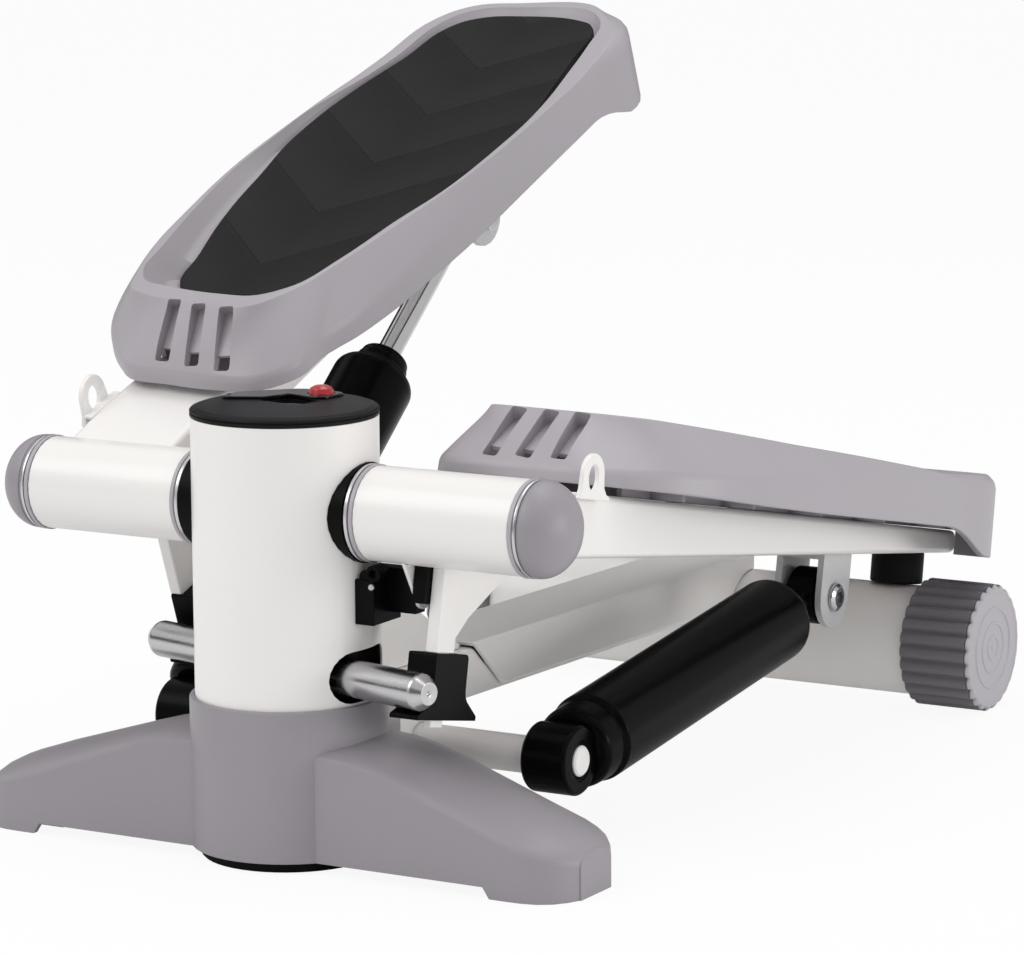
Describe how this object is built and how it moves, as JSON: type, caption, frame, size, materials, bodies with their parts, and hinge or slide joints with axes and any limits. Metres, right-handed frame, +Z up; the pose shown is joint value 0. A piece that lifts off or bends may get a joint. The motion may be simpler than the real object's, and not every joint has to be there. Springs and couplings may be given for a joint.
{
  "type": "mini stepper",
  "caption": "Free-standing mini stepper: a column on a splayed base, a spine to a rear floor tube, and a pair of hinged foot pedals with oil dampers, linked by a rocker rod",
  "frame": {"origin": "on the column's axis, at the floor, in the underside of the column's round pad", "axes": "+Z up; +X to the right of a user who stands on the pedals and faces the column; -Y ahead of that user and +Y behind"},
  "size_m": [0.3, 0.4489, 0.3208],
  "materials": {
    "white_paint": "semi-gloss powder coat",
    "grey_plastic": "satin mid grey",
    "pale_plastic": "satin light grey",
    "black_plastic": "satin black",
    "black_gloss": "gloss black",
    "black_rubber": "matt black",
    "mat_rubber": "matt charcoal",
    "red_plastic": "gloss red",
    "chrome": "polished",
    "steel": "bare steel",
    "green_board": "circuit board",
    "cell": "cell jacket"
  },
  "bodies": {
    "frame": {"column_tube": "white_paint", "base_cover": "grey_plastic", "base_crossbar": "steel", "base_pad": "black_rubber", "foot_pad_right": "black_rubber", "foot_pad_left": "black_rubber", "display_cap": "black_plastic", "display_lens": "black_gloss", "display_board": "green_board", "battery_cell": "cell", "sensor_block": "black_plastic", "sensor_lead": "black_rubber", "pivot_axle": "steel", "pivot_bush_right": "black_plastic", "pivot_bush_left": "black_plastic", "spine_tube": "white_paint", "spine_channel": "white_paint", "column_strut": "white_paint", "damper_bracket": "white_paint", "damper_bar": "white_paint", "rear_tube": "white_paint", "rear_cap_right": "pale_plastic", "rear_cap_left": "pale_plastic", "rocker_pin": "steel"},
    "button": {"reset_button": "red_plastic"},
    "rocker": {"rocker_rod": "chrome", "rocker_hub": "black_plastic"},
    "pedal_right": {"pivot_ring_right": "pale_plastic", "pivot_tube_right": "white_paint", "dome_cap_right": "grey_plastic", "arm_beam_right": "white_paint", "lever_leg_right": "white_paint", "lever_gusset_right": "white_paint", "rocker_shoe_right": "black_plastic", "band_hook_right": "white_paint", "damper_fork_right": "white_paint", "fork_bolt_right": "chrome", "bumper_right": "black_rubber", "pedal_shell_right": "grey_plastic", "pedal_mat_right": "mat_rubber", "sensor_tab": "white_paint", "magnet_holder": "black_plastic"},
    "cylinder_right": {"damper_cylinder_right": "black_plastic"},
    "piston_right": {"damper_rod_right": "chrome"},
    "pedal_left": {"pivot_ring_left": "pale_plastic", "pivot_tube_left": "white_paint", "dome_cap_left": "grey_plastic", "arm_beam_left": "white_paint", "lever_leg_left": "white_paint", "lever_gusset_left": "white_paint", "rocker_shoe_left": "black_plastic", "band_hook_left": "white_paint", "damper_fork_left": "white_paint", "fork_bolt_left": "chrome", "bumper_left": "black_rubber", "pedal_shell_left": "grey_plastic", "pedal_mat_left": "mat_rubber"},
    "cylinder_left": {"damper_cylinder_left": "black_plastic"},
    "piston_left": {"damper_rod_left": "chrome"}
  },
  "joints": [
    {"name": "right_pedal", "type": "hinge", "parent": "frame", "child": "pedal_right", "pos_m": [0, 0, 0.1433], "axis": [1, 0, 0], "range_deg": [0, 31.13]},
    {"name": "left_pedal", "type": "hinge", "parent": "frame", "child": "pedal_left", "pos_m": [0, 0, 0.1433], "axis": [1, 0, 0], "range_deg": [-31.13, 0]},
    {"name": "rocker_swing", "type": "hinge", "parent": "frame", "child": "rocker", "pos_m": [0, 0, 0.0774], "axis": [0, 0, 1], "range_deg": [0, 28.8]},
    {"name": "right_cylinder_swing", "type": "hinge", "parent": "frame", "child": "cylinder_right", "pos_m": [0.09, 0.0627, 0.0356], "axis": [1, 0, 0], "range_deg": [0, 33.6]},
    {"name": "left_cylinder_swing", "type": "hinge", "parent": "frame", "child": "cylinder_left", "pos_m": [-0.09, 0.0627, 0.0356], "axis": [1, 0, 0], "range_deg": [-32.1, 0]},
    {"name": "right_rod_stroke", "type": "slide", "parent": "cylinder_right", "child": "piston_right", "axis": [0, 0.9929, 0.1193], "range_m": [0, 0.066]},
    {"name": "left_rod_stroke", "type": "slide", "parent": "cylinder_left", "child": "piston_left", "axis": [0, 0.7692, 0.639], "range_m": [-0.0668, 0]},
    {"name": "button_press", "type": "slide", "parent": "frame", "child": "button", "axis": [0, 0, 1], "range_m": [-0.0015, 0], "stiffness_N_per_m": 300, "springref_m": 0.001}
  ],
  "couplings": [
    {"joint": "left_pedal", "follows": "right_pedal", "ratio": -1},
    {"joint": "rocker_swing", "follows": "right_pedal", "ratio": 0.9248},
    {"joint": "right_cylinder_swing", "follows": "right_pedal", "ratio": 1.0779},
    {"joint": "left_cylinder_swing", "follows": "right_pedal", "ratio": -1.0297},
    {"joint": "right_rod_stroke", "follows": "right_pedal", "m_per_rad": 0.12131},
    {"joint": "left_rod_stroke", "follows": "right_pedal", "m_per_rad": -0.12279}
  ]
}
